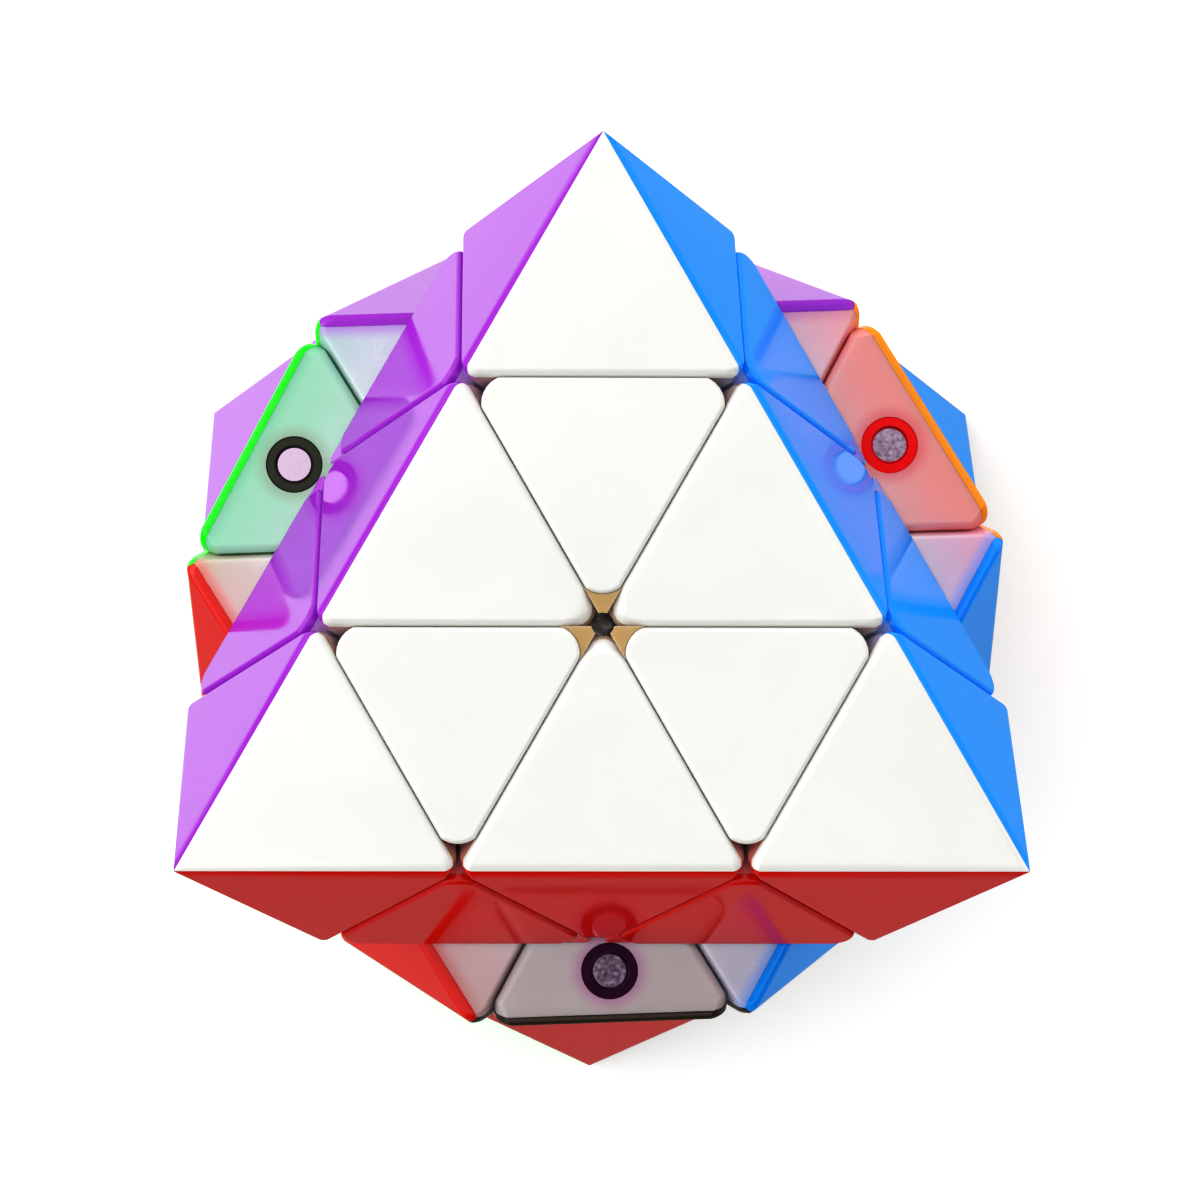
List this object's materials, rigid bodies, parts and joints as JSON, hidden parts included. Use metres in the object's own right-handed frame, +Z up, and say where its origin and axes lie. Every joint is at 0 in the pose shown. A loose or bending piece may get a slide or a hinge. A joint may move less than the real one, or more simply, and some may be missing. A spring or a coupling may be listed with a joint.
{
  "type": "twisty puzzle",
  "caption": "Face-turning octahedron puzzle, stickerless, with its middle slice part-turned between two layers.",
  "frame": {"origin": "centre of the bottom face, where the puzzle stands", "axes": "+Z up through the upper face, +Y towards one of its vertices, +X to the right of it"},
  "size_m": [0.0906, 0.104, 0.0735],
  "materials": {
    "white_shell": "glossy injection-moulded white plastic with rounded edges",
    "yellow_shell": "glossy injection-moulded yellow plastic with rounded edges",
    "orange_shell": "glossy injection-moulded orange plastic with rounded edges",
    "red_shell": "glossy injection-moulded red plastic with rounded edges",
    "green_shell": "glossy injection-moulded green plastic with rounded edges",
    "blue_shell": "glossy injection-moulded blue plastic with rounded edges",
    "black_shell": "glossy injection-moulded black plastic with rounded edges",
    "purple_shell": "glossy injection-moulded purple plastic with rounded edges",
    "milky_inner": "glossy milky translucent plastic of the inner shells and feet",
    "core_plastic": "satin beige nylon of the core and the face caps",
    "screw_steel": "plain steel of the screws and washers",
    "spring_steel": "drawn spring wire",
    "magnet_nickel": "nickel-plated magnet discs"
  },
  "bodies": {
    "middle_slice": {"core_spider": "core_plastic", "edge_blue_black": "blue_shell", "edge_green_purple": "green_shell", "edge_orange_blue": "orange_shell", "edge_orange_purple": "orange_shell", "edge_red_black": "red_shell", "edge_red_green": "red_shell", "face_cap_black": "core_plastic", "face_cap_blue": "core_plastic", "face_cap_green": "core_plastic", "face_cap_orange": "core_plastic", "face_cap_purple": "core_plastic", "face_cap_red": "core_plastic", "screw_black": "screw_steel", "screw_blue": "screw_steel", "screw_green": "screw_steel", "screw_orange": "screw_steel", "screw_purple": "screw_steel", "screw_red": "screw_steel", "screw_white": "screw_steel", "screw_yellow": "screw_steel", "triangle_black_towards_white": "black_shell", "triangle_blue_towards_yellow": "blue_shell", "triangle_green_towards_white": "green_shell", "triangle_orange_towards_white": "orange_shell", "triangle_purple_towards_yellow": "purple_shell", "triangle_red_towards_yellow": "red_shell"},
    "top_layer": {"corner_white_orange_blue_purple": "white_shell", "corner_white_red_blue_black": "white_shell", "corner_white_red_green_purple": "white_shell", "edge_white_blue": "white_shell", "edge_white_purple": "white_shell", "edge_white_red": "white_shell", "face_cap_white": "core_plastic", "triangle_blue_towards_purple": "blue_shell", "triangle_blue_towards_red": "blue_shell", "triangle_purple_towards_blue": "purple_shell", "triangle_purple_towards_red": "purple_shell", "triangle_red_towards_blue": "red_shell", "triangle_red_towards_purple": "red_shell", "triangle_white_towards_black": "white_shell", "triangle_white_towards_green": "white_shell", "triangle_white_towards_orange": "white_shell"},
    "bottom_layer": {"corner_yellow_orange_blue_black": "yellow_shell", "corner_yellow_orange_green_purple": "yellow_shell", "corner_yellow_red_green_black": "yellow_shell", "edge_yellow_black": "yellow_shell", "edge_yellow_green": "yellow_shell", "edge_yellow_orange": "yellow_shell", "face_cap_yellow": "core_plastic", "triangle_black_towards_green": "black_shell", "triangle_black_towards_orange": "black_shell", "triangle_green_towards_black": "green_shell", "triangle_green_towards_orange": "green_shell", "triangle_orange_towards_black": "orange_shell", "triangle_orange_towards_green": "orange_shell", "triangle_yellow_towards_blue": "yellow_shell", "triangle_yellow_towards_purple": "yellow_shell", "triangle_yellow_towards_red": "yellow_shell"}
  },
  "joints": [
    {"name": "top_layer_turn", "type": "hinge", "parent": "middle_slice", "child": "top_layer", "pos_m": [0, 0, 0.07348], "axis": [0, 0, 1], "continuous": true},
    {"name": "bottom_layer_turn", "type": "hinge", "parent": "middle_slice", "child": "bottom_layer", "pos_m": [0, 0, 0], "axis": [0, 0, 1], "continuous": true}
  ]
}
